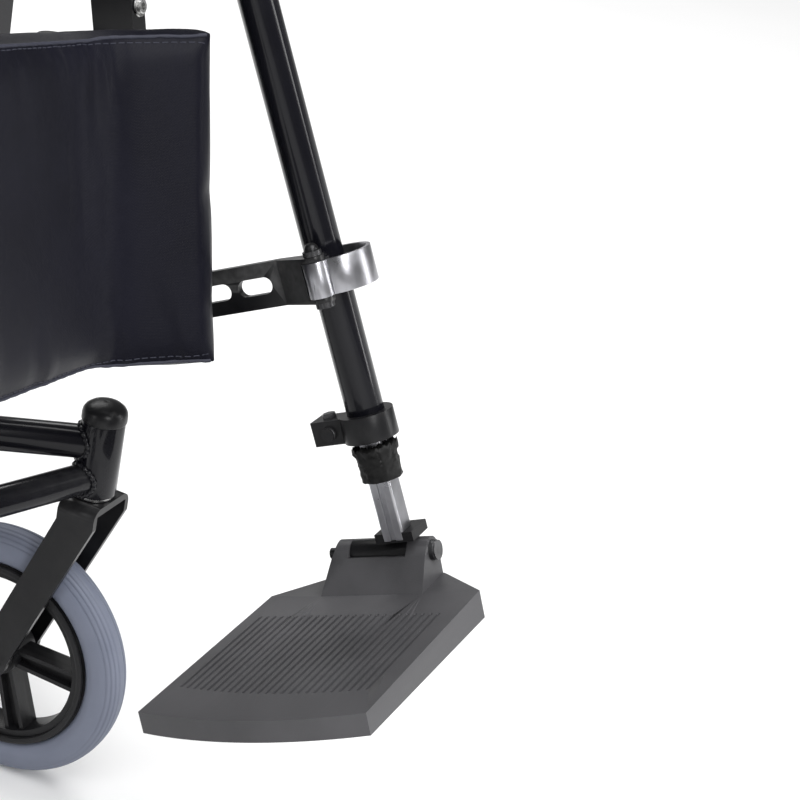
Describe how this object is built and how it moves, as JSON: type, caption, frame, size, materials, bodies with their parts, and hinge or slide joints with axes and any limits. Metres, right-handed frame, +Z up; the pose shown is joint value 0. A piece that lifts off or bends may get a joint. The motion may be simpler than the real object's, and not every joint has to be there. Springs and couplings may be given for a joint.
{
  "type": "transport wheelchair",
  "caption": "Attendant-pushed transport wheelchair with elevating swing-away legrests, padded calf supports, footplates, flip-back arms and a fold-down back.",
  "frame": {"origin": "centre of the overall bounding box, on the floor", "axes": "+X towards the sitter's left, -Y forward, +Z up"},
  "size_m": [0.591, 0.9044, 0.994],
  "materials": {
    "frame_paint": "gloss",
    "cap_plastic": "gloss",
    "upholstery": "satin",
    "rim_plastic": "satin",
    "tyre_grey": "matte",
    "zinc": "satin",
    "bolt_black": "satin",
    "aluminium": "brushed",
    "grip_rubber": "matte",
    "plate_plastic": "textured",
    "panel_plastic": "matte"
  },
  "bodies": {
    "frame": {"side_frame_left": "frame_paint", "side_frame_right": "frame_paint", "crossbars": "frame_paint", "seat": "upholstery", "back_lower": "upholstery", "head_cap_left": "cap_plastic", "head_cap_right": "cap_plastic", "rear_axle_left": "zinc", "rear_axle_right": "zinc"},
    "back": {"back_frame": "frame_paint", "back_upper": "upholstery", "push_grips": "grip_rubber"},
    "arm_left": {"arm_frame_left": "frame_paint", "arm_pad_left": "grip_rubber", "side_panel_left": "panel_plastic"},
    "wheel_lock_left": {"brake_lever_left": "frame_paint"},
    "swivel_left": {"fork_left": "frame_paint", "caster_axle_left": "zinc"},
    "caster_left": {"caster_rim_left": "rim_plastic", "caster_tyre_left": "tyre_grey"},
    "rear_wheel_left": {"rear_rim_left": "rim_plastic", "rear_tyre_left": "tyre_grey"},
    "swing_hanger_left": {"hanger_left": "frame_paint", "knee_bolt_left": "bolt_black"},
    "leg_left": {"leg_tube_left": "frame_paint", "calf_ring_left": "aluminium", "calf_bolt_left": "bolt_black", "leg_clamp_left": "cap_plastic"},
    "calf_support_left": {"calf_arm_left": "frame_paint", "calf_pad_left": "upholstery"},
    "extension_left": {"slide_bar_left": "aluminium", "bar_sleeve_left": "grip_rubber", "foot_hinge_left": "cap_plastic"},
    "foot_left": {"footplate_left": "plate_plastic", "foot_pin_left": "zinc"},
    "arm_right": {"arm_frame_right": "frame_paint", "arm_pad_right": "grip_rubber", "side_panel_right": "panel_plastic"},
    "wheel_lock_right": {"brake_lever_right": "frame_paint"},
    "swivel_right": {"fork_right": "frame_paint", "caster_axle_right": "zinc"},
    "caster_right": {"caster_rim_right": "rim_plastic", "caster_tyre_right": "tyre_grey"},
    "rear_wheel_right": {"rear_rim_right": "rim_plastic", "rear_tyre_right": "tyre_grey"},
    "swing_hanger_right": {"hanger_right": "frame_paint", "knee_bolt_right": "bolt_black"},
    "leg_right": {"leg_tube_right": "frame_paint", "calf_ring_right": "aluminium", "calf_bolt_right": "bolt_black", "leg_clamp_right": "cap_plastic"},
    "calf_support_right": {"calf_arm_right": "frame_paint", "calf_pad_right": "upholstery"},
    "extension_right": {"slide_bar_right": "aluminium", "bar_sleeve_right": "grip_rubber", "foot_hinge_right": "cap_plastic"},
    "foot_right": {"footplate_right": "plate_plastic", "foot_pin_right": "zinc"}
  },
  "joints": [
    {"name": "back_fold", "type": "hinge", "parent": "frame", "child": "back", "pos_m": [0, 0.27, 0.722], "axis": [-1, 0, 0], "range_deg": [0, 110]},
    {"name": "arm_flip_left", "type": "hinge", "parent": "frame", "child": "arm_left", "pos_m": [0.258, 0.27, 0.7], "axis": [-1, 0, 0], "range_deg": [0, 95]},
    {"name": "lock_lever_left", "type": "hinge", "parent": "frame", "child": "wheel_lock_left", "pos_m": [0.24, 0.155, 0.285], "axis": [-1, 0, 0], "range_deg": [0, 20]},
    {"name": "caster_swivel_left", "type": "hinge", "parent": "frame", "child": "swivel_left", "pos_m": [0.27, -0.179, 0.24], "axis": [0, 0, 1], "continuous": true},
    {"name": "caster_roll_left", "type": "hinge", "parent": "swivel_left", "child": "caster_left", "pos_m": [0.27, -0.13, 0.09], "axis": [1, 0, 0], "continuous": true},
    {"name": "rear_roll_left", "type": "hinge", "parent": "frame", "child": "rear_wheel_left", "pos_m": [0.257, 0.3, 0.1525], "axis": [1, 0, 0], "continuous": true},
    {"name": "leg_swing_left", "type": "hinge", "parent": "frame", "child": "swing_hanger_left", "pos_m": [0.248, -0.124, 0.43], "axis": [0, 0, 1], "range_deg": [0, 90]},
    {"name": "leg_lift_left", "type": "hinge", "parent": "swing_hanger_left", "child": "leg_left", "pos_m": [0.27, -0.22243, 0.59529], "axis": [-1, 0, 0], "range_deg": [0, 55]},
    {"name": "calf_swing_left", "type": "hinge", "parent": "leg_left", "child": "calf_support_left", "pos_m": [0.249, -0.31331, 0.42668], "axis": [0, 0.456, 0.89], "range_deg": [0, 90]},
    {"name": "extension_slide_left", "type": "slide", "parent": "leg_left", "child": "extension_left", "axis": [0, -0.456, -0.89], "range_m": [0, 0.12]},
    {"name": "foot_flip_left", "type": "hinge", "parent": "extension_left", "child": "foot_left", "pos_m": [0.278, -0.3741, 0.25945], "axis": [0, 0.914, -0.4058], "range_deg": [0, 55]},
    {"name": "arm_flip_right", "type": "hinge", "parent": "frame", "child": "arm_right", "pos_m": [-0.258, 0.27, 0.7], "axis": [-1, 0, 0], "range_deg": [0, 95]},
    {"name": "lock_lever_right", "type": "hinge", "parent": "frame", "child": "wheel_lock_right", "pos_m": [-0.24, 0.155, 0.285], "axis": [-1, 0, 0], "range_deg": [0, 20]},
    {"name": "caster_swivel_right", "type": "hinge", "parent": "frame", "child": "swivel_right", "pos_m": [-0.27, -0.179, 0.24], "axis": [0, 0, -1], "continuous": true},
    {"name": "caster_roll_right", "type": "hinge", "parent": "swivel_right", "child": "caster_right", "pos_m": [-0.27, -0.13, 0.09], "axis": [1, 0, 0], "continuous": true},
    {"name": "rear_roll_right", "type": "hinge", "parent": "frame", "child": "rear_wheel_right", "pos_m": [-0.257, 0.3, 0.1525], "axis": [1, 0, 0], "continuous": true},
    {"name": "leg_swing_right", "type": "hinge", "parent": "frame", "child": "swing_hanger_right", "pos_m": [-0.248, -0.124, 0.43], "axis": [0, 0, -1], "range_deg": [0, 90]},
    {"name": "leg_lift_right", "type": "hinge", "parent": "swing_hanger_right", "child": "leg_right", "pos_m": [-0.27, -0.22243, 0.59529], "axis": [-1, 0, 0], "range_deg": [0, 55]},
    {"name": "calf_swing_right", "type": "hinge", "parent": "leg_right", "child": "calf_support_right", "pos_m": [-0.249, -0.31331, 0.42668], "axis": [0, -0.456, -0.89], "range_deg": [0, 90]},
    {"name": "extension_slide_right", "type": "slide", "parent": "leg_right", "child": "extension_right", "axis": [0, -0.456, -0.89], "range_m": [0, 0.12]},
    {"name": "foot_flip_right", "type": "hinge", "parent": "extension_right", "child": "foot_right", "pos_m": [-0.278, -0.3741, 0.25945], "axis": [0, -0.914, 0.4058], "range_deg": [0, 55]}
  ]
}
